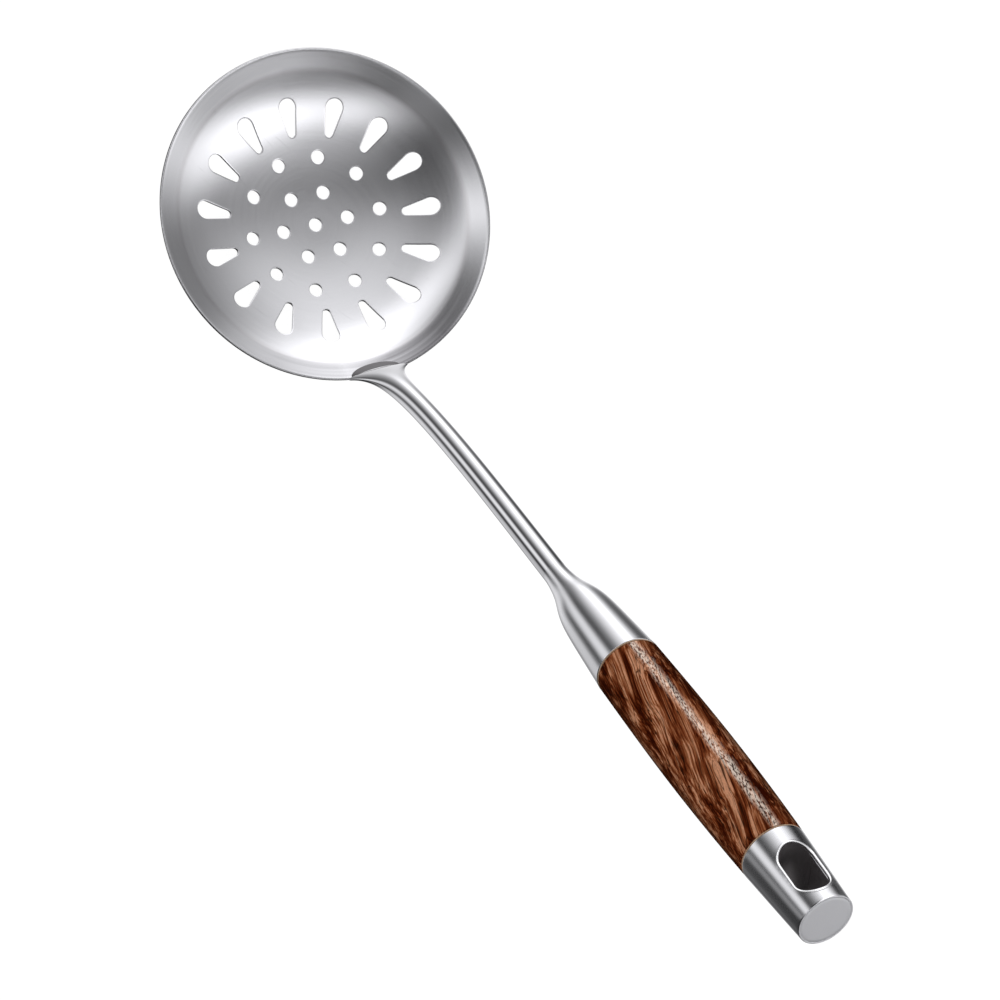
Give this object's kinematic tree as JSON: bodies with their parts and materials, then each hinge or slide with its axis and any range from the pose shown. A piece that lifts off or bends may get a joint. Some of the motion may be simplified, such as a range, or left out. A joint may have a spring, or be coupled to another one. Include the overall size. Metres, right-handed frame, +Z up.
{
  "type": "perforated skimmer ladle",
  "caption": "Shallow perforated steel skimmer bowl on a bent steel neck, with a turned wooden grip and a hanging slot in its end cap, for lifting and draining food.",
  "frame": {"origin": "middle of the centre drain hole, on the underside of the bowl, which is the bowl's lowest point", "axes": "+Z up with the bowl level and open upwards, +X towards the handle, which rises over +X, and the XZ plane is the mirror plane"},
  "size_m": [0.3229, 0.12, 0.2524],
  "materials": {
    "bowl_steel": "satin pressed stainless sheet",
    "polished_steel": "polished stainless with fine lengthwise grain",
    "weld_steel": "ground weld",
    "plain_steel": "plain machined",
    "dark_steel": "dull unpolished inside, bright lip",
    "matt_steel": "matt bead blasted",
    "seal": "dull tan",
    "wood": "lacquered dark rosewood with diagonal grain"
  },
  "bodies": {
    "root": {"bowl": "bowl_steel", "neck": "polished_steel", "lip_weld": "weld_steel", "root_weld": "weld_steel", "bolster": "polished_steel", "bolster_plug": "plain_steel", "lock_washer": "plain_steel", "tang_rod": "plain_steel", "front_seal": "seal", "grip": "wood", "rear_seal": "seal", "end_cap": "polished_steel", "cap_plug": "plain_steel", "slot_liner": "dark_steel", "end_plate": "matt_steel"}
  },
  "joints": []
}
